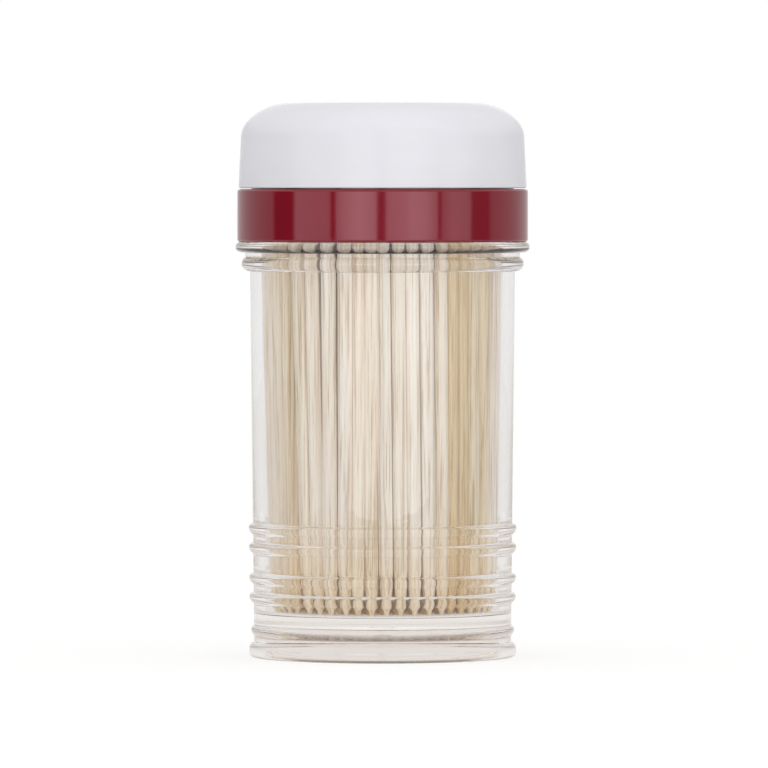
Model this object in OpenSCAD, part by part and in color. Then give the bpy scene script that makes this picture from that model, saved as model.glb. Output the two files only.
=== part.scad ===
// Toothpick dispenser: a clear ribbed jar of toothpicks, closed by a push-on
// collar that carries a turning dome cap. Inverted with the cap turned a
// quarter turn, it lets one toothpick out through the collar's hole and the
// cap's chute. Millimetres, origin at the centre of the foot, +Z up, front -Y.

/* [Toothpicks] */
// Length of one toothpick
pick_len = 63.5; // [55:0.5:75]
// Diameter of one toothpick
pick_d = 2.1; // [1.9:0.05:2.5]
// Length of each pointed end
point_len = 8; // [6:0.5:12]
// Radius of the blunt tip
tip_r = 0.25; // [0.15:0.05:0.4]
// Least gap between two toothpicks
pick_gap = 0.1; // [0.06:0.01:0.2]
// Gap between the outer toothpicks and the jar's wall
bundle_gap = 0.25; // [0.15:0.05:0.5]
// Share of each row's circle that holds toothpicks
row_fill = 0.95; // [0.8:0.01:0.98]
// How much further the outer toothpicks lean out than the wall does
bundle_lean = 0.25; // [0:0.05:0.5]
// Least gap between two rows of toothpicks
row_gap = 0.15; // [0.12:0.01:0.3]
// How far the rows' tops sway to either side, in degrees
row_sway = 1.8; // [0:0.1:2.5]
// Gap between the toothpicks' lower tips and the jar's floor
tip_gap = 0.1; // [0.05:0.05:0.3]

/* [Jar wall] */
// Outer radius of the wall where it meets the table
jar_r = 21.4; // [19:0.1:25]
// Draft of the wall, which widens upwards, in degrees
jar_draft = 0.62; // [0.3:0.02:1]
// Thickness of the side wall
jar_wall = 1.85; // [1.5:0.05:2.4]
// Height of the inner floor above the table
floor_z = 7.3; // [6.5:0.1:10]
// Thickness of the inner floor
floor_t = 2; // [1.4:0.1:2.6]
// Fillet round the inner floor
floor_fillet = 0.8; // [0.4:0.1:1]

/* [Jar foot and ribs] */
// Height of the foot ring
foot_h = 2.75; // [2.4:0.05:2.9]
// How far the foot ring stands out of the wall
foot_out = 0.85; // [0.5:0.05:1.2]
// Edge round under the foot ring
foot_round = 0.8; // [0.4:0.1:1]
// Edge round on top of the foot ring
foot_top_round = 1.3; // [0.8:0.1:1.4]
// Chamfer round the mouth of the recess under the floor
recess_chamfer = 0.5; // [0.2:0.1:0.8]
// Height of the single low rib's centre
low_rib_z = 4.7; // [4.4:0.1:5]
// How far the low rib stands out of the wall
low_rib_out = 0.48; // [0.3:0.02:0.6]
// Height of the centre of the lower pair of ribs
lower_pair_z = 11.8; // [10.5:0.1:13]
// Height of the centre of the upper pair of ribs
upper_pair_z = 20.05; // [18:0.05:26]
// Spacing of the two ribs of a pair
rib_pitch = 3.2; // [2.9:0.1:3.6]
// How far the paired ribs stand out of the wall
rib_out = 0.57; // [0.3:0.01:0.7]
// Radius of a rib's section
rib_r = 1.9; // [1.5:0.1:2.2]

/* [Jar rim and neck] */
// Radius of the section of the rim's upper ring
rim_ring_r = 1; // [0.8:0.05:1.2]
// Depth of the upper ring's centre below the shoulder
rim_ring_drop = 0.83; // [0.6:0.01:1]
// How far the rim stands out past the collar
rim_lip = 0.3; // [0.1:0.05:0.6]
// Radius of the section of the rim's lower ring
low_ring_r = 1.3; // [1:0.05:1.5]
// Depth of the lower ring's centre below the shoulder
low_ring_drop = 3.6; // [3.2:0.1:4.5]
// How far the lower ring stands out of the wall
low_ring_out = 1.4; // [1:0.05:1.6]
// How far the band between the rings stands out of the wall
band_out = 0.78; // [0.4:0.02:1]
// How far the neck's snap bead stands out
neck_bead_out = 0.35; // [0.2:0.05:0.5]
// Radius of the snap bead's section
neck_bead_r = 0.6; // [0.5:0.05:0.8]
// Height of the snap bead's centre above the shoulder
neck_bead_z = 3.6; // [3:0.1:4.5]
// Edge round on the neck's lip
lip_round = 0.5; // [0.3:0.1:0.7]

/* [Collar] */
// Space between the toothpicks' upper tips and the deck
head_room = 5.3; // [4.8:0.1:8]
// Thickness of the deck
deck_t = 1.8; // [1.4:0.1:2.4]
// Height of the collar's outer band
collar_h = 8.8; // [8.2:0.1:11]
// Thickness of the collar's wall
collar_wall = 1.63; // [1.3:0.01:2.2]
// Edge round on the collar's outer band
collar_round = 0.45; // [0.3:0.05:0.6]
// Radial clearance between the snap bead and the collar
snap_clear = 0.12; // [0.08:0.01:0.2]
// Gap between the snap bead and the groove it sits in
groove_gap = 0.3; // [0.15:0.05:0.4]
// Gap between the neck's lip and the deck
lip_gap = 0.2; // [0.1:0.05:0.4]
// Lead-in chamfer at the collar's mouth
mouth_chamfer = 0.4; // [0.2:0.1:0.6]
// Wall of the plug ring that centres the collar in the jar
plug_t = 1; // [0.8:0.1:1.4]
// Depth of the plug ring below the deck
plug_h = 3; // [2:0.1:4]
// Radial gap between the plug ring and the jar
plug_gap = 0.25; // [0.15:0.05:0.4]
// Wall of the spigot ring that the cap turns on
spigot_t = 1.4; // [1:0.1:2]
// Height of the spigot ring above the deck
spigot_h = 3.2; // [2.9:0.1:4]
// Height of the spigot bead's centre above the deck
spigot_bead_z = 2.2; // [2:0.1:2.4]
// Radius of the centre post
post_r = 2; // [1.5:0.1:2.4]
// Height of the centre post above the deck
post_h = 8; // [5:0.5:10]
// Chamfer on the post's upper end
post_chamfer = 0.5; // [0.2:0.1:0.8]
// Height of the funnel under the deck's hole
funnel_h = 1.2; // [0.8:0.1:1.3]
// How much wider than the hole the funnel's mouth is, on the radius
funnel_out = 1.5; // [1:0.1:2]

/* [Cap] */
// Height of the cap
cap_h = 14.15; // [12.5:0.05:18]
// How far the cap's side is set in from the collar's
cap_inset = 0.25; // [0.1:0.05:0.6]
// Draft of the cap's side, in degrees
cap_draft = 2.5; // [1:0.1:3]
// Wall thickness of the cap
cap_wall = 1.5; // [1.2:0.05:2]
// Radius of the arc that rounds the crown
crown_r = 9.6; // [8:0.1:10]
// Radius of the tighter arc between the crown and the side
turn_r = 4.3; // [3.5:0.1:5]
// Slope at which the two arcs meet, in degrees
arc_split = 45; // [35:1:55]
// Edge round at the cap's lower edge
cap_round = 0.3; // [0.2:0.05:0.4]
// Gap between the cap and the collar
seam = 0.15; // [0.1:0.05:0.3]
// Radial clearance between the cap's skirt and the spigot's bead
skirt_gap = 0.16; // [0.1:0.02:0.3]
// How far the spigot's bead stands out
spigot_bead_out = 0.35; // [0.25:0.05:0.5]
// Radius of the spigot bead's section
spigot_bead_round = 0.5; // [0.4:0.05:0.7]
// Overlap that keeps the cap's bead under the spigot's bead
cap_hold = 0.2; // [0.1:0.05:0.3]
// Height of the cap bead's centre above the cap's lower edge
cap_bead_z = 0.75; // [0.6:0.05:0.8]

/* [Outlet] */
// How much wider than a toothpick the outlet is
pick_pass = 1.9; // [1.2:0.1:2.6]
// Distance of the outlet from the axis
outlet_off = 12.5; // [9:0.5:13]
// Wall of the chute
chute_t = 1.2; // [0.9:0.1:1.6]
// Gap between the chute's lower end and the deck
chute_gap = 0.2; // [0.1:0.05:0.4]
// Chamfer round the outlet's mouth
outlet_chamfer = 0.4; // [0.2:0.1:0.6]

/* [Turning and stops] */
// Angle from closed to open, in degrees
turn_angle = 90; // [60:5:120]
// Radial clearance between the post and the cap's boss
post_clear = 0.1; // [0.05:0.01:0.15]
// Wall of the cap's boss
boss_t = 1.25; // [1:0.05:1.6]
// Gap between the boss's lower end and the deck
boss_gap = 2; // [1:0.1:3]
// Thickness of the web between the boss and the chute
web_t = 1.2; // [0.9:0.1:1.6]
// Depth of that web below the cap's roof
web_h = 7; // [4:0.5:9]
// Thickness of the stop ribs and of the stop lug
stop_t = 1.5; // [1.2:0.1:2]
// Radial length of a stop rib
stop_len = 3.2; // [2.4:0.1:4]
// Gap between a stop rib and the spigot ring
stop_side_gap = 1.2; // [0.6:0.1:2]
// Height of the stop lug above the deck
lug_h = 2.5; // [2:0.1:3]
// Gap between a stop rib and the deck
stop_drop = 0.5; // [0.3:0.1:0.8]
// Gap left between a stop rib and the lug at the end of the turn
stop_gap = 0.2; // [0.1:0.05:0.4]

/* [Hidden] */
$fn = 96;
overrun = 1; // how far a cut runs past the surface that it opens
bond = 0.4; // how far a joined form reaches into the one that carries it

// Radius of the jar's outer and inner wall at height z
function wall_r(z) = jar_r + z * tan(jar_draft);
function bore_r(z) = wall_r(z) - jar_wall;

// Levels, from the table up: everything above the floor follows the toothpicks
pick_z = floor_z + tip_gap;
deck_under = pick_z + pick_len + head_room;
deck_z = deck_under + deck_t;
shoulder_z = deck_z - collar_h;
lip_z = deck_under - lip_gap;
cap_z = deck_z + seam;

// Radii at the neck, each fitted to the piece inside it
neck_r = wall_r(shoulder_z);
bead_r = neck_r + neck_bead_out;
socket_r = bead_r + snap_clear;
collar_r = socket_r + collar_wall;
rim_r = collar_r + rim_lip;
plug_r = bore_r(lip_z - plug_h) - plug_gap;
cap_r = collar_r - cap_inset;
skirt_r = cap_r - cap_wall;
spigot_bead_r = skirt_r - spigot_bead_z * tan(cap_draft) - skirt_gap;
spigot_r = spigot_bead_r - spigot_bead_out;
hook_r = skirt_r - spigot_bead_r + cap_hold;
outlet_r = (pick_d + pick_pass) / 2;
chute_r = outlet_r + chute_t;
boss_in = post_r + post_clear;
boss_r = boss_in + boss_t;

// The stop lug stands against the spigot's inner side, opposite the deck's hole
lug_out_r = spigot_r - spigot_t;
stop_in_r = lug_out_r - stop_side_gap - stop_len;
stop_turn = 2 * asin((stop_t + stop_gap) / (2 * stop_in_r));
lug_angle = 135;
closed_angle = -90;

// Rows of toothpicks, from the wall to the centre
row_step = pick_d + row_gap;
outer_row_r = bore_r(pick_z) - bundle_gap - bundle_lean - pick_d / 2;
row_total = floor(outer_row_r / row_step);
row_spread = 1 + (pick_len * tan(jar_draft) + bundle_lean) / outer_row_r;
random_share = 0.75;
row_turn = 7;
sway_turn = 50;
low_seed = 1;
high_seed = 2;
centre_lean = [0.1, -0.1];

// A point's belly: its share of the stick's radius and of the point's length
belly_out = 0.72;
belly_along = 0.45;

function row_radius(k) = outer_row_r - (k - 1) * row_step;
function row_angle(k) = 2 * asin((pick_d + pick_gap) / (2 * row_radius(k)));
function row_count(k) = floor(360 * row_fill / row_angle(k));
function total(v) = v * [for (x = v) 1];

// Angles of one row: each toothpick keeps its least pitch, and the spare angle
// is shared out partly evenly and partly at random
function row_steps(k, seed) =
    let (n = row_count(k), pitch = row_angle(k), spare = 360 - n * pitch,
         draw = [for (x = rands(0, 1, n, seed)) x * x])
    [for (x = draw)
        pitch + spare * ((1 - random_share) / n + random_share * x / total(draw))];
function row_angles(k, seed) =
    let (steps = row_steps(k, seed))
    [for (i = 0, a = row_turn * k; i < len(steps); a = a + steps[i], i = i + 1) a];

// Half section of a round slab on the axis whose side leans in by draft and
// whose lower and upper edges are rounded
module slab_section(r, h, draft, low, high) {
    n = [cos(draft), sin(draft)];
    low_c = [r - low * tan(draft) - low / cos(draft), low];
    high_c = [r - (h - high) * tan(draft) - high / cos(draft), h - high];
    polygon([[0, 0], [low_c.x, 0], low_c + low * n,
             high_c + high * n, [high_c.x, h], [0, h]]);
    translate(low_c) circle(low);
    translate(high_c) circle(high);
}

// Half section of the jar's walls without its hollows
module jar_section() {
    wall_top = wall_r(shoulder_z);
    polygon([[0, 0], [jar_r, 0], [wall_top, shoulder_z], [0, shoulder_z]]);
    slab_section(jar_r + foot_out, foot_h, 0, foot_round, foot_top_round);
    rib_section(low_rib_z, low_rib_out);
    for (mid = [lower_pair_z, upper_pair_z], side = [-1, 1])
        rib_section(mid + side * rib_pitch / 2, rib_out);
    translate([0, shoulder_z - low_ring_drop])
        square([wall_top + band_out, low_ring_drop]);
    translate([wall_top + low_ring_out - low_ring_r, shoulder_z - low_ring_drop])
        circle(low_ring_r);
    intersection() {
        translate([rim_r - rim_ring_r, shoulder_z - rim_ring_drop]) circle(rim_ring_r);
        square([2 * rim_r, shoulder_z]);
    }
    translate([0, shoulder_z - low_ring_drop])
        slab_section(neck_r, lip_z - shoulder_z + low_ring_drop, 0, lip_round, lip_round);
    translate([bead_r - neck_bead_r, shoulder_z + neck_bead_z]) circle(neck_bead_r);
}

// One rib round the jar: the outer part of a circle that sits in the wall
module rib_section(z, out) {
    translate([wall_r(z) + out - rib_r, z]) circle(rib_r);
}

// Half section of the space that holds the toothpicks
module bore_section() {
    centre = [bore_r(floor_z + floor_fillet) - floor_fillet, floor_z + floor_fillet];
    polygon([[0, floor_z], [centre.x, floor_z], [centre.x + floor_fillet, centre.y],
             [bore_r(lip_z - lip_round), lip_z - lip_round],
             [bore_r(lip_z) + lip_round, lip_z], [bore_r(lip_z) + lip_round, lip_z + overrun],
             [0, lip_z + overrun]]);
    translate(centre) circle(floor_fillet);
}

// Half section of the recess under the floor
module recess_section() {
    top = floor_z - floor_t;
    r = jar_r - jar_wall;
    centre = [r - floor_fillet, top - floor_fillet];
    polygon([[0, -overrun], [r + recess_chamfer, -overrun], [r + recess_chamfer, 0],
             [r, recess_chamfer], [r, centre.y], [centre.x, top], [0, top]]);
    translate(centre) circle(floor_fillet);
}

module jar() {
    gate_r = 1.5;
    gate_h = 0.4;
    color([0.90, 0.92, 0.93, 0.4]) {
        rotate_extrude()
            difference() {
                jar_section();
                bore_section();
                recess_section();
            }
        translate([0, 0, floor_z - floor_t - gate_h]) cylinder(r = gate_r, h = gate_h + bond);
    }
}

// Half section of the collar: band, deck, plug ring and spigot ring
module collar_section() {
    difference() {
        translate([0, shoulder_z])
            slab_section(collar_r, collar_h, 0, collar_round, collar_round);
        translate([0, shoulder_z - overrun])
            square([socket_r, deck_under - shoulder_z + overrun]);
        polygon([[0, shoulder_z - overrun], [socket_r + mouth_chamfer, shoulder_z - overrun],
                 [socket_r + mouth_chamfer, shoulder_z],
                 [socket_r, shoulder_z + mouth_chamfer], [0, shoulder_z + mouth_chamfer]]);
        translate([bead_r - neck_bead_r, shoulder_z + neck_bead_z])
            circle(neck_bead_r + groove_gap);
    }
    translate([plug_r - plug_t, deck_under - plug_h]) square([plug_t, plug_h + deck_t / 2]);
    translate([spigot_r - spigot_t, deck_z - deck_t / 2])
        square([spigot_t, spigot_h + deck_t / 2]);
    translate([spigot_bead_r - spigot_bead_round, deck_z + spigot_bead_z])
        circle(spigot_bead_round);
}

module collar() {
    color([0.45, 0.08, 0.14])
        difference() {
            union() {
                rotate_extrude() collar_section();
                translate([0, 0, deck_z - deck_t / 2]) {
                    cylinder(r = post_r, h = post_h + deck_t / 2 - post_chamfer);
                    translate([0, 0, post_h + deck_t / 2 - post_chamfer])
                        cylinder(r1 = post_r, r2 = post_r - post_chamfer, h = post_chamfer);
                }
                rotate([0, 0, lug_angle])
                    translate([stop_in_r, -stop_t / 2, deck_z - deck_t / 2])
                    cube([lug_out_r + bond - stop_in_r, stop_t, lug_h + deck_t / 2]);
            }
            rotate([0, 0, closed_angle + turn_angle]) translate([outlet_off, 0, 0]) {
                translate([0, 0, deck_under - overrun])
                    cylinder(r = outlet_r, h = deck_t + 2 * overrun);
                translate([0, 0, deck_under])
                    cylinder(r1 = outlet_r + funnel_out, r2 = outlet_r, h = funnel_h);
            }
        }
}

// Half section of the cap's dome, drawn in from its outer face by inset
module dome_section(inset) {
    split = [sin(arc_split), cos(arc_split)];
    side = [cos(cap_draft), sin(cap_draft)];
    turn_z = cap_h - crown_r + (crown_r - turn_r) * split.y;
    turn_c = [cap_r - (turn_z + turn_r * side.y) * tan(cap_draft) - turn_r * side.x, turn_z];
    crown_c = turn_c - (crown_r - turn_r) * split;
    crown = crown_r - inset;
    turn = turn_r - inset;
    polygon([[0, 0], [cap_r - inset / side.x, 0], turn_c + turn * side,
             turn_c + turn * split, crown_c + [0, crown], [0, cap_h - inset]]);
    translate(turn_c) circle(turn);
    intersection() {
        translate(crown_c) circle(crown);
        polygon([crown_c, crown_c + [0, 2 * crown_r], crown_c + 2 * crown_r * split]);
    }
}

// The cap's shell with its lower edge and the bead that holds it on the spigot
module cap_shell() {
    rotate_extrude() {
        difference() {
            dome_section(0);
            dome_section(cap_wall);
            polygon([[cap_r - cap_round, 0], [cap_r + overrun, -overrun],
                     [cap_r + overrun, cap_round + overrun], [cap_r, cap_round]]);
        }
        translate([skirt_r, cap_bead_z]) circle(hook_r);
    }
}

module cap() {
    top = cap_h;
    under = cap_h - cap_wall;
    color([0.90, 0.90, 0.92])
        translate([0, 0, cap_z])
        difference() {
            union() {
                cap_shell();
                translate([0, 0, boss_gap - seam])
                    cylinder(r = boss_r, h = under + bond - boss_gap + seam);
                rotate([0, 0, closed_angle]) {
                    translate([outlet_off, 0, chute_gap - seam])
                        cylinder(r = chute_r, h = under + bond - chute_gap + seam);
                    translate([boss_r - bond, -web_t / 2, under - web_h])
                        cube([outlet_off - chute_r - boss_r + 2 * bond, web_t, web_h + bond]);
                }
                for (a = [lug_angle + stop_turn, lug_angle - stop_turn - turn_angle])
                    rotate([0, 0, a])
                        translate([stop_in_r, -stop_t / 2, stop_drop])
                        cube([stop_len, stop_t, under - stop_drop + bond]);
            }
            translate([0, 0, -overrun]) cylinder(r = boss_in, h = under - bond + overrun);
            rotate([0, 0, closed_angle]) translate([outlet_off, 0, 0]) {
                translate([0, 0, -overrun]) cylinder(r = outlet_r, h = top + 2 * overrun);
                translate([0, 0, top - outlet_chamfer])
                    cylinder(r1 = outlet_r, r2 = outlet_r + 2 * outlet_chamfer,
                             h = 2 * outlet_chamfer);
            }
        }
}

// One toothpick on its lower tip: a round stick with two long tapered points
module toothpick() {
    r = pick_d / 2;
    belly = [belly_out * r, belly_along * point_len];
    half = [[tip_r, 0], belly, [r, point_len]];
    color([0.87, 0.78, 0.62])
        rotate_extrude($fn = 24)
        polygon(concat([[0, 0]], half,
                       [for (i = [2 : -1 : 0]) [half[i].x, pick_len - half[i].y]],
                       [[0, pick_len]]));
}

// A toothpick from a point near the floor towards a point near the lid
module leaning_toothpick(low, high) {
    v = [high.x - low.x, high.y - low.y, pick_len];
    translate([low.x, low.y, pick_z])
        rotate([0, atan2(norm([v.x, v.y]), v.z), atan2(v.y, v.x)])
        toothpick();
}

module toothpick_row(k) {
    low = row_angles(k, 10 * k + low_seed);
    high = [for (a = row_angles(k, 10 * k + high_seed))
        a + row_sway * sin(a + sway_turn * k)];
    r = row_radius(k);
    for (i = [0 : len(low) - 1])
        leaning_toothpick(r * [cos(low[i]), sin(low[i])],
                          r * row_spread * [cos(high[i]), sin(high[i])]);
}

jar();
collar();
cap();
for (k = [1 : row_total])
    toothpick_row(k);
leaning_toothpick([0, 0], centre_lean);  // toothpick_centre
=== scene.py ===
import math
import random

import bmesh
import bpy
from mathutils import Matrix, Vector


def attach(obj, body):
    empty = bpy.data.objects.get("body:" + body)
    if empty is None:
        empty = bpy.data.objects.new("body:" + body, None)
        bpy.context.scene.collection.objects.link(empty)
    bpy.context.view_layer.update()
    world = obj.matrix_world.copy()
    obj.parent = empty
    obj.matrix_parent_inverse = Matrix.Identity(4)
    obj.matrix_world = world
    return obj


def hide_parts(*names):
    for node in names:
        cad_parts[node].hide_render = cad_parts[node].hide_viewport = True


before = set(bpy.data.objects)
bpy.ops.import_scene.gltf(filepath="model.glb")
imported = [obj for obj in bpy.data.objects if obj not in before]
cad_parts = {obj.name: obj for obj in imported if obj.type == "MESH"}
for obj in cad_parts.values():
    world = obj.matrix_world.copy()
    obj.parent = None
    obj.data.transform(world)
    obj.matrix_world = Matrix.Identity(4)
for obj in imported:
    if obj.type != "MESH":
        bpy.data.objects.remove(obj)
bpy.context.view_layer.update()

# Toothpick dispenser: a clear ribbed jar of toothpicks, a glossy red collar and a
# white dome cap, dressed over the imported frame. Sizes are in millimetres, as in
# the part's source, and each piece takes the place of its own node.

MM = 0.001
WELD = 2e-6  # metres; points closer than this are one
PEN = 1e-4  # metres; the plane that a section's first point is shrunk from
CREASE = math.radians(32)  # edges sharper than this stay crisp
ROUND_STEPS = 192  # steps of a turned piece round its axis
SMALL_STEPS = 64  # the same for a tube or a hole
FILLET_STEPS = 6  # steps of an arc in a half section, by what it rounds
EDGE_STEPS = 3
LIP_STEPS = 5
BEAD_STEPS = 8
RING_STEPS = (18, 16)
FOOT_STEPS = (8, 7)
DOME_STEPS = (14, 8)
BLOCK_EDGE = 0.2  # rounding of a block's edges

# Jar
JAR_R = 21.4
JAR_DRAFT = math.radians(0.62)
JAR_WALL = 1.85
FLOOR_Z = 7.3
FLOOR_T = 2.0
FLOOR_FILLET = 0.8
FOOT_H = 2.75
FOOT_OUT = 0.85
FOOT_ROUND = 0.8
FOOT_TOP_ROUND = 1.3
RECESS_CHAMFER = 0.5
GATE_R = 1.5
GATE_H = 0.4
LOW_RIB = (4.7, 0.48)  # height of its centre, how far it stands out
RIB_PAIRS = (11.8, 20.05)  # heights of the pairs' centres
RIB_PITCH = 3.2
RIB_OUT = 0.72
RIB_ABOVE = (0.65, 0.35)  # radius of its crest and at its root, over the crest
RIB_BELOW = (1.3, 0.7)  # the same under the crest
RIB_BANDS = ((2.85, 6.65), (8.3, 15.3), (16.5, 23.6))  # stretches drawn finely
RIB_STEP = 0.07
SHOULDER_Z = 69.2
NECK_R = 22.149
LIP_Z = 76.0
LIP_ROUND = 0.5
NECK_BEAD = (3.6, 0.35, 0.6)  # height over the shoulder, stand-out, radius
UPPER_RING = (0.83, 24.549, 1.0)  # depth under the shoulder, reach, radius
LOWER_RING = (3.6, 1.4, 1.3)  # depth under the shoulder, stand-out, radius
BAND_OUT = 0.78

# Collar
DECK_UNDER = 76.2
DECK_Z = 78.0
COLLAR_R = 24.249
COLLAR_ROUND = 0.45
SOCKET_R = 22.619
MOUTH_CHAMFER = 0.4
GROOVE_R = 0.9
PLUG_R = 20.09
PLUG_T = 1.0
PLUG_H = 3.0
SPIGOT_R = 21.893
SPIGOT_T = 1.4
SPIGOT_H = 3.2
SPIGOT_ROUND = 0.2
SPIGOT_BEAD = (2.2, 22.243, 0.5)  # height over the deck, reach, radius
POST_R = 2.0
POST_H = 8.0
POST_CHAMFER = 0.5
FUNNEL_H = 1.2
FUNNEL_OUT = 1.5

# Cap
CAP_Z = 78.15
CAP_H = 14.15
CAP_R = 23.999
CAP_DRAFT = math.radians(2.5)
CAP_WALL = 1.5
CAP_EDGE = 0.3
CROWN_R = 9.6
TURN_R = 4.3
ARC_SPLIT = 45
CAP_BEAD = (0.75, 22.499, 0.45)  # height over the lower edge, centre's radius, radius
OUTLET_OFF = 12.5
OUTLET_R = 2.0
OUTLET_CHAMFER = 0.4
CHUTE_R = 3.2
CHUTE_LOW = 0.05
BOSS_R = 3.35
BOSS_BORE = 2.1
BOSS_LOW = 1.85
WEB_T = 1.2
WEB_H = 7.0
STOP_T = 1.5
STOP_R = (16.093, 19.293)
STOP_LOW = 0.5
STOP_ANGLES = (141.06, 38.94)
LUG_R = (16.093, 20.893)
LUG_H = 2.5
LUG_ANGLE = 135
BOND = 0.4

# Toothpicks
PICK_LEN = 63.5
PICK_R = 1.05
OUTER_POINTS = (8.0, 4.5)  # length of the outer row's lower and upper points
INNER_POINTS = (4.0, 4.0)
TIP_R = 0.25
BELLY = (0.78, 0.42)  # share of the stick's radius, and of the point's length
PICK_SIDES = 8
PICK_GIRTH = (1.1, 1.24)  # a stick's thickness as a share of its nominal one
PICK_SHIFT = 0.2  # how far its tips may stand aside
SWAYS = ((3, 0.9, 0.9), (7, 0.4, 2.4), (13, 0.18, 0.3))  # waves round the row, size, start
OUTER_SHIFT = ((-0.6, 0.05), (-0.55, 0.4))  # the outer ones' tips, towards the wall
OUTER_TONES = (0.65, 0.16, 0.2)  # middle, swing in waves round the row, and spread
# The inner rows take only the darkest tones: painted shade in the gaps between the outer
# sticks.
INNER_PAINTED_SHADE_TONES = (0.15, 0.0, 0.15)
TONE_WAVES = 4
OUTER_ROW = "toothpick_row_1"
END_BAND = 0.05  # a solid's points nearer its end than this make up its tip
SEED = 7


# ---------------------------------------------------------------- drawing


def arc(centre, radius, start, end, steps):
    """Points on an arc of a half section, from one angle to another in degrees."""
    turns = [math.radians(start + (end - start) * i / steps) for i in range(steps + 1)]
    return [(centre[0] + radius * math.cos(t), centre[1] + radius * math.sin(t)) for t in turns]


def bead(centre, radius, wall, steps):
    """The part of a circle that stands out of a wall, from its upper to its lower end."""
    half = math.degrees(math.acos((wall - centre[0]) / radius))
    return arc(centre, radius, half, -half, steps)


def select_only(*pieces):
    bpy.ops.object.select_all(action="DESELECT")
    for piece in pieces:
        piece.select_set(True)
    bpy.context.view_layer.objects.active = pieces[0]


def turned(name, section, steps=ROUND_STEPS, closed=False):
    """Draws a half section point by point and spins it into one closed skin."""
    bpy.ops.object.select_all(action="DESELECT")
    first = section[0]
    bpy.ops.mesh.primitive_plane_add(size=PEN, location=(first[0] * MM, 0, first[1] * MM))
    piece = bpy.context.object
    piece.name = piece.data.name = name
    bpy.ops.object.transform_apply(location=True, rotation=True, scale=True)
    bpy.ops.object.mode_set(mode="EDIT")
    bpy.ops.mesh.select_mode(type="VERT")
    bpy.ops.mesh.select_all(action="SELECT")
    bpy.ops.mesh.merge(type="CENTER")
    stops = section[1:] + ([first] if closed else [])
    for here, there in zip(section, stops):
        step = ((there[0] - here[0]) * MM, 0, (there[1] - here[1]) * MM)
        bpy.ops.mesh.extrude_region_move(TRANSFORM_OT_translate={"value": step})
    bpy.ops.mesh.select_all(action="SELECT")
    bpy.ops.mesh.spin(steps=steps, angle=math.tau, center=(0, 0, 0), axis=(0, 0, 1))
    tidy_skin()
    return piece


def tidy_skin():
    """Welds the open mesh's seams and poles, and turns its faces outwards."""
    bpy.ops.mesh.select_all(action="SELECT")
    bpy.ops.mesh.remove_doubles(threshold=WELD)
    bpy.ops.mesh.normals_make_consistent(inside=False)
    bpy.ops.object.mode_set(mode="OBJECT")


def move_mesh(piece, x=0.0, y=0.0, z=0.0, turn=0.0):
    """Turns a piece's mesh about the axis, in degrees, after moving it."""
    place = Matrix.Translation((x * MM, y * MM, z * MM))
    piece.data.transform(Matrix.Rotation(math.radians(turn), 4, "Z") @ place)
    return piece


def block(name, low, high, turn):
    """A rib between two corners, with its edges rounded, turned about the axis."""
    size = [(b - a) * MM for a, b in zip(low, high)]
    middle = [(a + b) / 2 * MM for a, b in zip(low, high)]
    bpy.ops.object.select_all(action="DESELECT")
    bpy.ops.mesh.primitive_cube_add(size=1, location=middle, scale=size)
    piece = bpy.context.object
    piece.name = piece.data.name = name
    bpy.ops.object.transform_apply(location=True, rotation=True, scale=True)
    bpy.ops.object.mode_set(mode="EDIT")
    bpy.ops.mesh.select_all(action="SELECT")
    bpy.ops.mesh.bevel(offset=BLOCK_EDGE * MM, segments=EDGE_STEPS, affect="EDGES")
    tidy_skin()
    return move_mesh(piece, turn=turn)


def cut(piece, cutter):
    """Takes the cutter's shape out of a piece and removes the cutter."""
    select_only(piece)
    bore = piece.modifiers.new("bore", "BOOLEAN")
    bore.operation, bore.solver, bore.object = "DIFFERENCE", "EXACT", cutter
    bpy.ops.object.modifier_apply(modifier=bore.name)
    bpy.data.objects.remove(cutter)


def joined(*pieces):
    select_only(*pieces)
    bpy.ops.object.join()
    return pieces[0]


def finish_piece(piece, body, material, nodes):
    """Shades a piece, and puts it on its body in the place of its nodes."""
    select_only(piece)
    bpy.ops.object.shade_smooth_by_angle(angle=CREASE)
    piece.data.materials.clear()
    piece.data.materials.append(material)
    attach(piece, body)
    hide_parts(*nodes)


# ---------------------------------------------------------------- materials

MIX_A, MIX_B, MIX_RESULT = 6, 7, 2  # a Mix node's sockets when it mixes colours
FLOW = (60, 60, 140)  # scale of the flow marks in moulded plastic, each way
FLOW_RANGE = (0.3, 0.7)
FLOW_BUMP = (0.25, 0.00006)  # strength, height in metres
SPECK = (2200, 2200, 2200)  # scale of the fine changes in its shine
SPECK_RANGE = (0.3, 0.75)

# Each plastic: its darker and lighter tone, least and most roughness, own sockets
CLEAR = (
    (0.967, 0.951, 0.941), (0.985, 0.974, 0.966), (0.0, 0.03),
    {"Transmission Weight": 1.0, "IOR": 1.57},
)
RED = (
    (0.196, 0.004, 0.013), (0.216, 0.005, 0.017), (0.06, 0.12),
    {"IOR": 1.5, "Specular IOR Level": 1.0, "Specular Tint": (0.78, 0.52, 0.57, 1)},
)
WHITE = (
    (0.81, 0.805, 0.85), (0.835, 0.83, 0.875), (0.14, 0.22),
    {"IOR": 1.5, "Specular IOR Level": 0.25},
)
BASE_PAINTED_SHADE = ((6.5, 8.0), (0.93, 0.905, 0.875))  # heights and tint of the jar's thick base, darker towards the bottom: painted shade
THROUGH_LIGHT = (0.99, 0.985, 0.975, 1)  # what one face of the jar lets through
DEEP = 5.5  # light that has met more faces than this goes straight on
MIRRORED_OFTEN = 3.5  # and so does light mirrored inside more often than this
LOST_LIGHT = (0.84, 0.815, 0.805, 1)  # what one face lets through of such light

# Wood by tone: the darkest stops, taken by the inner rows, are painted shade between the
# sticks.
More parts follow.
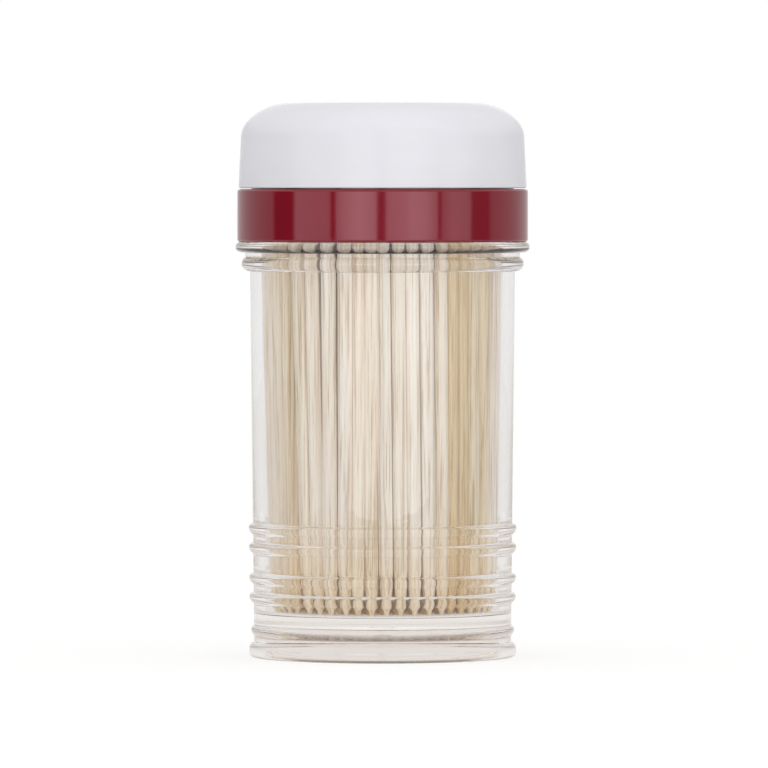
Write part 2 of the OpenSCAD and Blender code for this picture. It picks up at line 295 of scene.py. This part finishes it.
WOOD_TONES = (
    (0.0, (0.55, 0.35, 0.15)),
    (0.3, (0.80, 0.65, 0.41)),
    (0.45, (0.89, 0.785, 0.60)),
    (0.62, (0.95, 0.885, 0.78)),
    (0.82, (0.97, 0.925, 0.865)),
    (1.0, (0.95, 0.89, 0.845)),
)
STREAK = {"scale": (2600, 2600, 28), "detail": 4.0, "roughness": 0.7}
STREAK_SHADES = ((0.36, (0.68, 0.58, 0.46)), (0.48, (0.93, 0.905, 0.87)), (0.6, (1, 1, 1)))
STREAK_ROUGH = ((0.3, (0.8, 0.8, 0.8)), (0.7, (0.6, 0.6, 0.6)))
STREAK_BUMP = (0.35, 0.0001)
CLOUD = {"scale": (300, 300, 30), "detail": 2.0}
CLOUD_SHADES = ((0.35, (0.95, 0.91, 0.87)), (0.6, (1, 1, 1)))
# Heights over which the sticks' lower part turns darker and browner, and its tint: painted
# shade.
LOW_WOOD_PAINTED_SHADE = ((8.0, 24.0), (1.0, 0.905, 0.74))
WOOD_SHINE = 0.3


def add(tree, kind, values=None, **settings):
    """Adds a shader node with its inputs' values and its own settings."""
    made = tree.nodes.new("ShaderNode" + kind)
    for name, value in settings.items():
        setattr(made, name, value)
    for name, value in (values or {}).items():
        made.inputs[name].default_value = value
    return made


def ramp(tree, source, stops):
    """A colour ramp over a value: stops are (place, colour)."""
    made = tree.nodes.new("ShaderNodeValToRGB")
    elements = made.color_ramp.elements
    while len(elements) < len(stops):
        elements.new(1.0)
    for element, (place, colour) in zip(elements, stops):
        element.position, element.color = place, (*colour, 1)
    tree.links.new(source, made.inputs["Fac"])
    return made


def pattern(tree, scale, detail=3.0, roughness=0.55):
    """A noise over the piece's own coordinates, as fine in each direction as scale says."""
    place = add(tree, "TexCoord")
    size = add(tree, "Mapping", {"Scale": scale})
    noise = add(tree, "TexNoise", {"Scale": 1.0, "Detail": detail, "Roughness": roughness})
    tree.links.new(place.outputs["Object"], size.inputs["Vector"])
    tree.links.new(size.outputs["Vector"], noise.inputs["Vector"])
    return noise.outputs["Fac"]


def multiplied(tree, colour, tint):
    """One colour times another."""
    made = add(tree, "Mix", {"Factor": 1.0}, data_type="RGBA", blend_type="MULTIPLY")
    tree.links.new(colour, made.inputs[MIX_A])
    tree.links.new(tint, made.inputs[MIX_B])
    return made.outputs[MIX_RESULT]


def worked_out(tree, operation, first, second, **settings):
    """A sum on two values, each a socket or a plain number."""
    made = add(tree, "Math", operation=operation, **settings)
    for place, value in enumerate((first, second)):
        if isinstance(value, float):
            made.inputs[place].default_value = value
        else:
            tree.links.new(value, made.inputs[place])
    return made.outputs[0]


def low_painted_shade(tree, span, tint):
    """Painted shade: a tint that darkens the piece's lowest part and fades out between two
    heights.
    """
    place = add(tree, "TexCoord")
    parts = add(tree, "SeparateXYZ")
    rise = add(tree, "MapRange", {"From Min": span[0] * MM, "From Max": span[1] * MM})
    tree.links.new(place.outputs["Object"], parts.inputs[0])
    tree.links.new(parts.outputs["Z"], rise.inputs["Value"])
    return ramp(tree, rise.outputs["Result"], ((0.0, tint), (1.0, grey(1.0)))).outputs["Color"]


def bump(tree, height, strength, distance):
    made = add(tree, "Bump", {"Strength": strength, "Distance": distance})
    tree.links.new(height, made.inputs["Height"])
    return made.outputs["Normal"]


def grey(value):
    return (value, value, value)


def moulded(name, dark, light, rough, values):
    """Glossy moulded plastic: faint flow marks in its colour, shine and surface."""
    material = bpy.data.materials.new(name)
    material.use_nodes = True
    tree = material.node_tree
    shader = tree.nodes["Principled BSDF"]
    for socket, value in values.items():
        shader.inputs[socket].default_value = value
    flow = pattern(tree, FLOW)
    speck = pattern(tree, SPECK, detail=2.0)
    colour = ramp(tree, flow, tuple(zip(FLOW_RANGE, (dark, light))))
    shine = ramp(tree, speck, tuple(zip(SPECK_RANGE, map(grey, rough))))
    tree.links.new(colour.outputs["Color"], shader.inputs["Base Color"])
    tree.links.new(shine.outputs["Color"], shader.inputs["Roughness"])
    tree.links.new(bump(tree, flow, *FLOW_BUMP), shader.inputs["Normal"])
    return material


def clear_plastic():
    """Clear plastic that lets the studio's light straight through to what it holds; its base is
    tinted darker as painted shade.
    """
    material = moulded("clear_plastic", *CLEAR)
    tree = material.node_tree
    shader = tree.nodes["Principled BSDF"]
    base = shader.inputs["Base Color"]
    # painted shade: the base's colour darkened towards the bottom
    shaded_base = multiplied(tree, base.links[0].from_socket, low_painted_shade(tree, *BASE_PAINTED_SHADE))
    tree.links.new(shaded_base, base)
    seen = add(tree, "LightPath").outputs
    light = worked_out(tree, "MAXIMUM", seen["Is Shadow Ray"], seen["Is Diffuse Ray"])
    deep = worked_out(tree, "GREATER_THAN", seen["Ray Depth"], DEEP)
    often = worked_out(tree, "GREATER_THAN", seen["Glossy Depth"], MIRRORED_OFTEN)
    lost = worked_out(tree, "MAXIMUM", deep, often)
    share = worked_out(tree, "SUBTRACT", lost, light, use_clamp=True)
    dimmed = add(tree, "Mix", {MIX_A: THROUGH_LIGHT, MIX_B: LOST_LIGHT}, data_type="RGBA")
    through = add(tree, "BsdfTransparent")
    both = add(tree, "MixShader")
    tree.links.new(share, dimmed.inputs["Factor"])
    tree.links.new(dimmed.outputs[MIX_RESULT], through.inputs["Color"])
    tree.links.new(worked_out(tree, "MAXIMUM", light, lost), both.inputs[0])
    tree.links.new(shader.outputs[0], both.inputs[1])
    tree.links.new(through.outputs[0], both.inputs[2])
    tree.links.new(both.outputs[0], tree.nodes["Material Output"].inputs["Surface"])
    return material


def wood():
    """Pale turned wood: grain along each stick over the stick's own tone, with painted shade in
    darker tones on the inner rows and in a darker, browner lower part.
    """
    material = bpy.data.materials.new("pale_wood")
    material.use_nodes = True
    tree = material.node_tree
    shader = tree.nodes["Principled BSDF"]
    shader.inputs["Specular IOR Level"].default_value = WOOD_SHINE
    tone = add(tree, "Attribute", attribute_name="tone")
    base = ramp(tree, tone.outputs["Fac"], WOOD_TONES)
    streak = pattern(tree, **STREAK)
    cloud = pattern(tree, **CLOUD)
    grain = ramp(tree, streak, STREAK_SHADES)
    drift = ramp(tree, cloud, CLOUD_SHADES)
    rough = ramp(tree, streak, STREAK_ROUGH)
    streaked = multiplied(tree, base.outputs["Color"], grain.outputs["Color"])
    weathered = multiplied(tree, streaked, drift.outputs["Color"])
    # painted shade: the sticks' lower part darker and browner
    shade_painted_low = multiplied(tree, weathered, low_painted_shade(tree, *LOW_WOOD_PAINTED_SHADE))
    tree.links.new(shade_painted_low, shader.inputs["Base Color"])
    tree.links.new(rough.outputs["Color"], shader.inputs["Roughness"])
    tree.links.new(bump(tree, streak, *STREAK_BUMP), shader.inputs["Normal"])
    return material


# ---------------------------------------------------------------- jar


def wall_r(z):
    return JAR_R + z * math.tan(JAR_DRAFT)


def bore_r(z):
    return wall_r(z) - JAR_WALL


def rib_out(rise, out):
    """How far a rib stands out of the wall at a height over its crest."""
    crest, fillet = RIB_ABOVE if rise > 0 else RIB_BELOW
    off = abs(rise)
    turn = math.acos(1 - out / (crest + fillet))
    root = (crest + fillet) * math.sin(turn)
    if off < crest * math.sin(turn):
        return out - crest + math.sqrt(crest**2 - off**2)
    if off < root:
        return fillet - math.sqrt(fillet**2 - (root - off) ** 2)
    return 0.0


def ribbed_r(z):
    """Radius of the wall's outside at a height, with each rib running softly into it."""
    pairs = [mid + side * RIB_PITCH / 2 for mid in RIB_PAIRS for side in (-1, 1)]
    ribs = [LOW_RIB] + [(height, RIB_OUT) for height in pairs]
    return wall_r(z) + max(rib_out(z - height, out) for height, out in ribs)


def jar_inside():
    centre = (bore_r(FLOOR_Z + FLOOR_FILLET) - FLOOR_FILLET, FLOOR_Z + FLOOR_FILLET)
    return [
        (0, FLOOR_Z),
        *arc(centre, FLOOR_FILLET, -90, 0, FILLET_STEPS),
        (bore_r(LIP_Z - LIP_ROUND), LIP_Z - LIP_ROUND),
        (bore_r(LIP_Z) + LIP_ROUND, LIP_Z),
    ]


def jar_neck():
    height, out, radius = NECK_BEAD
    return [
        *arc((NECK_R - LIP_ROUND, LIP_Z - LIP_ROUND), LIP_ROUND, 90, 0, LIP_STEPS),
        *bead((NECK_R + out - radius, SHOULDER_Z + height), radius, NECK_R, BEAD_STEPS),
        (NECK_R, SHOULDER_Z),
    ]


def jar_rings():
    """The two rings under the collar and the band between them."""
    drop, reach, radius = UPPER_RING
    band = NECK_R + BAND_OUT
    upper = (reach - radius, SHOULDER_Z - drop)
    top = math.degrees(math.asin(drop / radius))
    low = -math.degrees(math.acos((band - upper[0]) / radius))
    drop, out, radius_low = LOWER_RING
    lower = (NECK_R + out - radius_low, SHOULDER_Z - drop)
    wall = wall_r(lower[1] - radius_low)
    start = math.degrees(math.acos((band - lower[0]) / radius_low))
    end = -math.degrees(math.acos((wall - lower[0]) / radius_low))
    return [
        *arc(upper, radius, top, low, RING_STEPS[0]),
        *arc(lower, radius_low, start, end, RING_STEPS[1]),
    ]


def jar_wall():
    """The wall's outside, from under the rings down to the foot."""
    heights = []
    for low, high in RIB_BANDS:
        steps = round((high - low) / RIB_STEP)
        heights += [low + (high - low) * i / steps for i in range(steps + 1)]
    return [(ribbed_r(z), z) for z in reversed(heights)]


def jar_foot():
    reach = JAR_R + FOOT_OUT
    upper = (reach - FOOT_TOP_ROUND, FOOT_H - FOOT_TOP_ROUND)
    top = math.degrees(math.acos((wall_r(FOOT_H) - upper[0]) / FOOT_TOP_ROUND))
    recess = JAR_R - JAR_WALL
    under = FLOOR_Z - FLOOR_T
    return [
        *arc(upper, FOOT_TOP_ROUND, top, 0, FOOT_STEPS[0]),
        *arc((reach - FOOT_ROUND, FOOT_ROUND), FOOT_ROUND, 0, -90, FOOT_STEPS[1]),
        (recess + RECESS_CHAMFER, 0),
        (recess, RECESS_CHAMFER),
        *arc((recess - FLOOR_FILLET, under - FLOOR_FILLET), FLOOR_FILLET, 0, 90, FILLET_STEPS),
        (GATE_R, under),
        (GATE_R, under - GATE_H),
        (0, under - GATE_H),
    ]


def make_jar(material):
    jar = turned("clear_jar", jar_inside() + jar_neck() + jar_rings() + jar_wall() + jar_foot())
    finish_piece(jar, "jar", material, ["jar"])


# ---------------------------------------------------------------- toothpicks


def toothpick(lower_point, upper_point):
    """One stick on the axis, its lower tip at the origin: a shaft drawn out to two points."""
    shaft = (PICK_LEN - lower_point - upper_point) * MM
    bpy.ops.object.select_all(action="DESELECT")
    bpy.ops.mesh.primitive_cylinder_add(
        vertices=PICK_SIDES, radius=PICK_R * MM, depth=shaft,
        location=(0, 0, lower_point * MM + shaft / 2),
    )
    stick = bpy.context.object
    stick.name = stick.data.name = "toothpick"
    bpy.ops.object.transform_apply(location=True, rotation=True, scale=True)
    belly_out, belly_along = BELLY
    for side, point in ((1, upper_point), (-1, lower_point)):
        draws = (
            ((1 - belly_along) * point, belly_out),
            (belly_along * point, TIP_R / PICK_R / belly_out),
        )
        for length, shrink in draws:
            bpy.ops.object.mode_set(mode="EDIT")
            bpy.ops.mesh.select_mode(type="FACE")
            bpy.ops.mesh.select_all(action="DESELECT")
            mesh = bmesh.from_edit_mesh(stick.data)
            end = max(mesh.faces, key=lambda face: side * face.calc_center_median().z)
            end.select_set(True)
            bmesh.update_edit_mesh(stick.data)
            bpy.ops.mesh.extrude_region_move(
                TRANSFORM_OT_translate={"value": (0, 0, side * length * MM)}
            )
            bpy.ops.transform.resize(value=(shrink, shrink, 1))
            bpy.ops.object.mode_set(mode="OBJECT")
    return stick


def stick_ends(node):
    """The lower and the upper tip of every stick in a row's node."""
    mesh = bmesh.new()
    mesh.from_mesh(node.data)
    bmesh.ops.remove_doubles(mesh, verts=mesh.verts, dist=WELD)
    tip = END_BAND * MM
    seen, ends = set(), []
    for start in mesh.verts:
        if start in seen:
            continue
        seen.add(start)
        stick, queue = [], [start]
        while queue:
            here = queue.pop()
            stick.append(here.co.copy())
            for edge in here.link_edges:
                there = edge.other_vert(here)
                if there not in seen:
                    seen.add(there)
                    queue.append(there)
        low, high = min(p.z for p in stick), max(p.z for p in stick)
        lower = [p for p in stick if p.z < low + tip]
        upper = [p for p in stick if p.z > high - tip]
        ends.append((sum(lower, Vector()) / len(lower), sum(upper, Vector()) / len(upper)))
    mesh.free()
    return sorted(ends, key=lambda pair: math.atan2(pair[0].y, pair[0].x))


def make_row(stick, node_name, material, draw):
    """Stands a copy of the stick in the place of each one in the row's node."""
    copies = []
    outer = node_name == OUTER_ROW
    # the inner rows' darker tones are painted shade
    middle, swing, spread = OUTER_TONES if outer else INNER_PAINTED_SHADE_TONES
    for lower, upper in stick_ends(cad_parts[node_name]):
        copy = stick.copy()
        copy.data = stick.data.copy()
        bpy.context.scene.collection.objects.link(copy)
        aside = Vector((-lower.y, lower.x, 0)).normalized() * MM
        turn = math.atan2(lower.y, lower.x)
        sway = sum(size * math.sin(waves * turn + start) for waves, size, start in SWAYS)
        lower = lower + aside * draw.uniform(-1, 1) * PICK_SHIFT
        upper = upper + aside * (sway + draw.uniform(-1, 1) * PICK_SHIFT)
        if outer:
            outwards = Vector((lower.x, lower.y, 0)).normalized() * MM
            lower = lower + outwards * draw.uniform(*OUTER_SHIFT[0])
            upper = upper + outwards * draw.uniform(*OUTER_SHIFT[1])
        lean = (upper - lower).to_track_quat("Z", "Y").to_matrix().to_4x4()
        twist = Matrix.Rotation(draw.uniform(0, math.tau), 4, "Z")
        girth = draw.uniform(*PICK_GIRTH)
        twist @= Matrix.Diagonal((girth, girth, 1, 1))
        copy.data.transform(Matrix.Translation(lower) @ lean @ twist)
        shade = middle + swing * math.cos(TONE_WAVES * turn) + draw.uniform(-spread, spread)
        tone = copy.data.attributes.new("tone", "FLOAT", "POINT")
        tone.data.foreach_set("value", [shade] * len(copy.data.vertices))
        copies.append(copy)
    row = joined(*copies)
    row.name = row.data.name = "wooden_" + node_name
    finish_piece(row, "jar", material, [node_name])


def make_toothpicks(material):
    draw = random.Random(SEED)
    outer, inner = toothpick(*OUTER_POINTS), toothpick(*INNER_POINTS)
    for name in sorted(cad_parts):
        if name.startswith("toothpick"):
            make_row(outer if name == OUTER_ROW else inner, name, material, draw)
    bpy.data.objects.remove(outer)
    bpy.data.objects.remove(inner)


# ---------------------------------------------------------------- collar


def collar_section():
    bead_z, bead_r, bead_round = SPIGOT_BEAD
    spigot_in = SPIGOT_R - SPIGOT_T
    spigot_z = DECK_Z + SPIGOT_H - SPIGOT_ROUND
    round_r = COLLAR_R - COLLAR_ROUND
    groove = (NECK_R + NECK_BEAD[1] - NECK_BEAD[2], SHOULDER_Z + NECK_BEAD[0])
    groove_half = math.degrees(math.acos((SOCKET_R - groove[0]) / GROOVE_R))
    return [
        (0, DECK_Z + POST_H),
        (POST_R - POST_CHAMFER, DECK_Z + POST_H),
        (POST_R, DECK_Z + POST_H - POST_CHAMFER),
        (POST_R, DECK_Z),
        (spigot_in, DECK_Z),
        *arc((spigot_in + SPIGOT_ROUND, spigot_z), SPIGOT_ROUND, 180, 90, EDGE_STEPS),
        *arc((SPIGOT_R - SPIGOT_ROUND, spigot_z), SPIGOT_ROUND, 90, 0, EDGE_STEPS),
        *bead((bead_r - bead_round, DECK_Z + bead_z), bead_round, SPIGOT_R, FILLET_STEPS),
        (SPIGOT_R, DECK_Z),
        *arc((round_r, DECK_Z - COLLAR_ROUND), COLLAR_ROUND, 90, 0, FILLET_STEPS),
        *arc((round_r, SHOULDER_Z + COLLAR_ROUND), COLLAR_ROUND, 0, -90, FILLET_STEPS),
        (SOCKET_R + MOUTH_CHAMFER, SHOULDER_Z),
        (SOCKET_R, SHOULDER_Z + MOUTH_CHAMFER),
        *arc(groove, GROOVE_R, -groove_half, groove_half, FILLET_STEPS),
        (SOCKET_R, DECK_UNDER),
        (PLUG_R, DECK_UNDER),
        (PLUG_R, DECK_UNDER - PLUG_H),
        (PLUG_R - PLUG_T, DECK_UNDER - PLUG_H),
        (PLUG_R - PLUG_T, DECK_UNDER),
        (0, DECK_UNDER),
    ]


def make_collar(material):
    collar = turned("red_collar", collar_section())
    funnel = turned("funnel", [
        (0, DECK_UNDER - 1),
        (OUTLET_R + FUNNEL_OUT, DECK_UNDER - 1),
        (OUTLET_R + FUNNEL_OUT, DECK_UNDER),
        (OUTLET_R, DECK_UNDER + FUNNEL_H),
        (OUTLET_R, DECK_Z + 1),
        (0, DECK_Z + 1),
    ], SMALL_STEPS)
    cut(collar, move_mesh(funnel, x=OUTLET_OFF))
    lug = block(
        "lug", (LUG_R[0], -STOP_T / 2, DECK_Z - BOND),
        (LUG_R[1], STOP_T / 2, DECK_Z + LUG_H), LUG_ANGLE,
    )
    finish_piece(joined(collar, lug), "collar", material, ["collar"])


# ---------------------------------------------------------------- cap


def dome(inset, steps):
    """The dome's half section from the axis at the top to the side's lower end."""
    split = math.radians(ARC_SPLIT)
    side = math.degrees(CAP_DRAFT)
    apart = CROWN_R - TURN_R
    turn_z = CAP_H - CROWN_R + apart * math.cos(split)
    lean = (turn_z + TURN_R * math.sin(CAP_DRAFT)) * math.tan(CAP_DRAFT)
    turn = (CAP_R - lean - TURN_R * math.cos(CAP_DRAFT), turn_z)
    crown = (turn[0] - apart * math.sin(split), turn[1] - apart * math.cos(split))
    points = [
        (0, CAP_H - inset),
        *arc(crown, CROWN_R - inset, 90, 90 - ARC_SPLIT, steps),
        *arc(turn, TURN_R - inset, 90 - ARC_SPLIT, side, steps)[1:],
    ]
    return [(r, z + CAP_Z) for r, z in points]


def cap_section():
    height, centre_r, radius = CAP_BEAD
    inner_r = CAP_R - CAP_WALL / math.cos(CAP_DRAFT)
    edge = (CAP_R - CAP_EDGE, CAP_Z + CAP_EDGE)
    return [
        *dome(0, DOME_STEPS[0]),
        *arc(edge, CAP_EDGE, 0, -90, LIP_STEPS),
        (inner_r, CAP_Z),
        *arc((centre_r, CAP_Z + height), radius, -90, -270, BEAD_STEPS),
        *reversed(dome(CAP_WALL, DOME_STEPS[1])),
    ]


def tube(name, bore, reach, low, y=0.0):
    """A tube that hangs from the cap's roof."""
    roof = CAP_Z + CAP_H - CAP_WALL + BOND
    foot = CAP_Z + low
    section = [(bore, foot), (reach, foot), (reach, roof), (bore, roof)]
    return move_mesh(turned(name, section, SMALL_STEPS, closed=True), y=y)


def make_cap(material):
    cap = turned("white_cap", cap_section())
    top = CAP_Z + CAP_H
    roof = top - CAP_WALL
    outlet = turned("outlet", [
        (0, roof - 1),
        (OUTLET_R, roof - 1),
        (OUTLET_R, top - OUTLET_CHAMFER),
        (OUTLET_R + 2 * OUTLET_CHAMFER, top + OUTLET_CHAMFER),
        (0, top + OUTLET_CHAMFER),
    ], SMALL_STEPS)
    cut(cap, move_mesh(outlet, y=-OUTLET_OFF))
    chute = tube("chute", OUTLET_R, CHUTE_R, CHUTE_LOW, y=-OUTLET_OFF)
    boss = tube("boss", BOSS_BORE, BOSS_R, BOSS_LOW)
    web = block(
        "web", (BOSS_R - BOND, -WEB_T / 2, roof - WEB_H),
        (OUTLET_OFF - CHUTE_R + BOND, WEB_T / 2, roof + BOND), -90,
    )
    low = (STOP_R[0], -STOP_T / 2, CAP_Z + STOP_LOW)
    high = (STOP_R[1], STOP_T / 2, roof + BOND)
    stops = [block("stop", low, high, angle) for angle in STOP_ANGLES]
    finish_piece(joined(cap, chute, boss, web, *stops), "cap", material, ["cap"])


# ---------------------------------------------------------------- studio

# Light from round the object, by angle from the camera's side in degrees: four
# soft panels in front with narrow gaps between them, then a white tent
PANELS = (
    (-180, 1.0), (-172, 1.0), (-164, 0.7), (-98, 0.55),
    (-94.5, 0.05), (-75.5, 0.05), (-73, 1.3), (-42.6, 1.2),
    (-40.8, 0.05), (-38.2, 0.05), (-37, 1.4), (-30, 2.05), (-18, 2.6), (-5, 2.05),
    (-3.8, 0.2), (1.2, 0.2), (3.5, 1.75), (19, 2.1), (23, 2.5), (34, 2.3), (44, 1.4),
    (45.2, 0.15), (46.5, 0.15), (48.5, 1.0), (58, 1.5), (73, 1.2),
    (75.5, 0.2), (92, 0.15), (97, 0.55), (164, 0.7), (172, 1.0), (180, 1.0),
)
PANEL_MAX = 3.0
PANEL_TOP = (0.20, 0.30)  # sine of the height at which the panels fade into the ceiling
CEILING = 0.86
FLOOR_SIZE = 0.8
FLOOR_COLOUR = (0.66, 0.66, 0.66, 1)  # as the object is lit by it
BACKDROP_COLOUR = (0.36, 0.36, 0.36, 1)  # as the camera sees it
BACKDROP_GLOW = 0.7
MIRRORED_COLOUR = (0.1, 0.1, 0.1, 1)  # as it shows in or through the object
MIRRORED_GLOW = 0.78
MIRRORED_TINT = (1.0, 0.985, 0.975, 1)
WHITE_LIGHT = (1, 1, 1, 1)
CLEAR_VIEW = 0.75  # share of plain white in what shows through the jar


def studio():
    world = bpy.data.worlds.new("studio")
    bpy.context.scene.world = world
    world.use_nodes = True
    tree = world.node_tree
    tree.nodes.clear()
    way = add(tree, "TexCoord")
    parts = add(tree, "SeparateXYZ")
    flip = add(tree, "Math", {1: -1.0}, operation="MULTIPLY")
    angle = add(tree, "Math", operation="ARCTAN2")
    round_share = add(tree, "Math", {1: 1 / math.tau, 2: 0.5}, operation="MULTIPLY_ADD")
    tree.links.new(way.outputs["Generated"], parts.inputs[0])
    tree.links.new(parts.outputs["Y"], flip.inputs[0])
    tree.links.new(parts.outputs["X"], angle.inputs[0])
    tree.links.new(flip.outputs[0], angle.inputs[1])
    tree.links.new(angle.outputs[0], round_share.inputs[0])
    stops = [((turn + 180) / 360, grey(light / PANEL_MAX)) for turn, light in PANELS]
    panels = ramp(tree, round_share.outputs[0], stops)
    rise = add(tree, "MapRange", {"From Min": PANEL_TOP[0], "From Max": PANEL_TOP[1]})
    tree.links.new(parts.outputs["Z"], rise.inputs["Value"])
    ceiling = (*grey(CEILING / PANEL_MAX), 1)
    light = add(tree, "Mix", {MIX_B: ceiling}, data_type="RGBA")
    tree.links.new(rise.outputs["Result"], light.inputs["Factor"])
    tree.links.new(panels.outputs["Color"], light.inputs[MIX_A])
    lit = add(tree, "Background", {"Strength": PANEL_MAX})
    tree.links.new(light.outputs[MIX_RESULT], lit.inputs["Color"])
    plain = add(tree, "Background", {"Color": WHITE_LIGHT, "Strength": 1.0})
    seen = add(tree, "LightPath")
    share = add(tree, "Math", {1: CLEAR_VIEW}, operation="MULTIPLY_ADD")
    both = add(tree, "MixShader")
    out = add(tree, "OutputWorld")
    tree.links.new(seen.outputs["Is Transmission Ray"], share.inputs[0])
    tree.links.new(seen.outputs["Is Camera Ray"], share.inputs[2])
    tree.links.new(share.outputs[0], both.inputs[0])
    tree.links.new(lit.outputs[0], both.inputs[1])
    tree.links.new(plain.outputs[0], both.inputs[2])
    tree.links.new(both.outputs[0], out.inputs["Surface"])


def glowing(tree, colour, glow, tint):
    """Matt paint with a glow of its own."""
    paint = add(tree, "BsdfDiffuse", {"Color": colour})
    light = add(tree, "Emission", {"Color": tint, "Strength": glow})
    both = add(tree, "AddShader")
    tree.links.new(paint.outputs[0], both.inputs[0])
    tree.links.new(light.outputs[0], both.inputs[1])
    return both


def make_floor():
    """A plain white floor that keeps the object's soft shadow."""
    bpy.ops.object.select_all(action="DESELECT")
    bpy.ops.mesh.primitive_plane_add(size=FLOOR_SIZE, location=(0, 0, 0))
    floor = bpy.context.object
    floor.name = "floor"
    material = bpy.data.materials.new("white_floor")
    material.use_nodes = True
    tree = material.node_tree
    tree.nodes.clear()
    seen = add(tree, "LightPath")
    through = add(tree, "Math", operation="ADD", use_clamp=True)
    tree.links.new(seen.outputs["Is Glossy Ray"], through.inputs[0])
    tree.links.new(seen.outputs["Is Transmission Ray"], through.inputs[1])
    plain = add(tree, "BsdfDiffuse", {"Color": FLOOR_COLOUR})
    mirrored = glowing(tree, MIRRORED_COLOUR, MIRRORED_GLOW, MIRRORED_TINT)
    backdrop = glowing(tree, BACKDROP_COLOUR, BACKDROP_GLOW, WHITE_LIGHT)
    inner = add(tree, "MixShader")
    outer = add(tree, "MixShader")
    out = add(tree, "OutputMaterial")
    tree.links.new(through.outputs[0], inner.inputs[0])
    tree.links.new(plain.outputs[0], inner.inputs[1])
    tree.links.new(mirrored.outputs[0], inner.inputs[2])
    tree.links.new(seen.outputs["Is Camera Ray"], outer.inputs[0])
    tree.links.new(inner.outputs[0], outer.inputs[1])
    tree.links.new(backdrop.outputs[0], outer.inputs[2])
    tree.links.new(outer.outputs[0], out.inputs["Surface"])
    floor.data.materials.append(material)


CAMERA_AT = (0.23, -1480.0, 79.5)
CAMERA_AIM = (0.23, 0.0, 45.5)
SENSOR = 36
LENS = 416.25
SEES_TO = 20  # metres


def make_camera():
    data = bpy.data.cameras.new("camera")
    data.sensor_width = SENSOR
    data.lens = LENS
    data.clip_end = SEES_TO
    camera = bpy.data.objects.new("camera", data)
    bpy.context.scene.collection.objects.link(camera)
    camera.location = Vector(CAMERA_AT) * MM
    aim = Vector(CAMERA_AIM) * MM - camera.location
    camera.rotation_euler = aim.to_track_quat("-Z", "Y").to_euler()
    bpy.context.scene.camera = camera


bpy.context.scene.view_settings.view_transform = "Standard"
make_camera()
studio()
make_floor()
make_jar(clear_plastic())
make_toothpicks(wood())
make_collar(moulded("red_plastic", *RED))
make_cap(moulded("white_plastic", *WHITE))
